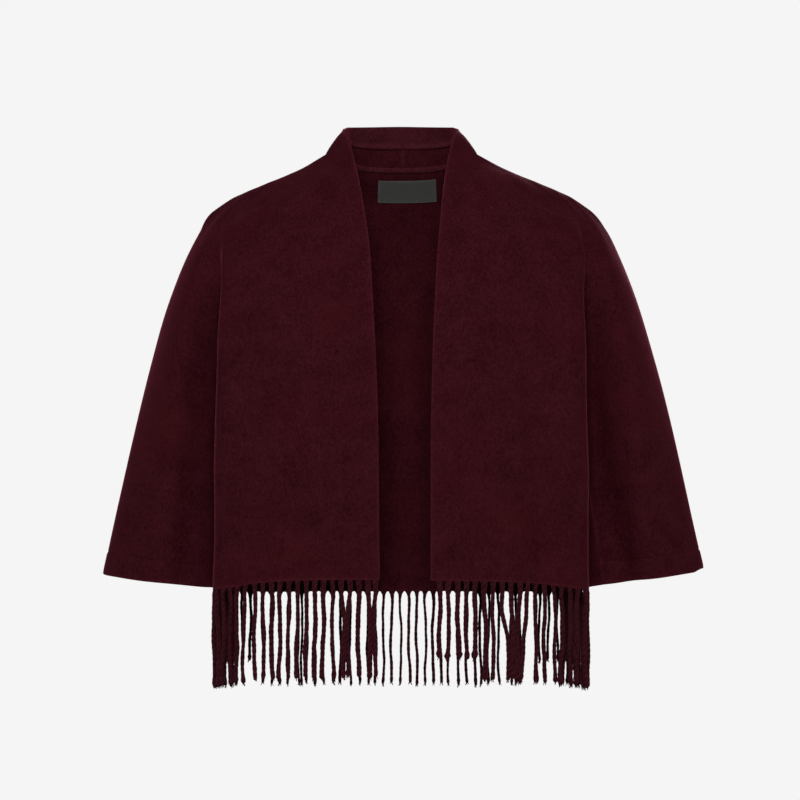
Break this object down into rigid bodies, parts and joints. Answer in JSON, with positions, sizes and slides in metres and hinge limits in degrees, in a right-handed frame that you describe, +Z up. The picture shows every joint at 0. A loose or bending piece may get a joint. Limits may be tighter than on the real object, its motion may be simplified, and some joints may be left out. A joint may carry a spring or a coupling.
{
  "type": "wool jacket",
  "caption": "Cropped open-front jacket in thick brushed wool, with kimono sleeves, a low stand collar and a long fringe along the hem.",
  "frame": {"origin": "between the shoulders on the jacket's middle plane, level with the neck points where the shoulder seams begin", "axes": "+X to the wearer's left, -Y to the front and +Z up"},
  "size_m": [0.6904, 0.2246, 0.6557],
  "materials": {
    "wool": "thick double-faced wool, brushed and velvety",
    "wool_turned": "the same wool turned in, its nap catching more light",
    "wool_yarn": "twisted wool yarn",
    "label_satin": "plain woven satin"
  },
  "bodies": {
    "root": {"back": "wool", "front_left": "wool", "front_right": "wool", "collar_hem_left": "wool_turned", "collar_hem_right": "wool_turned", "neck_seam_ridge": "wool_turned", "label": "label_satin", "fringe_front_left": "wool_yarn", "fringe_front_right": "wool_yarn", "fringe_back": "wool_yarn"}
  },
  "joints": []
}
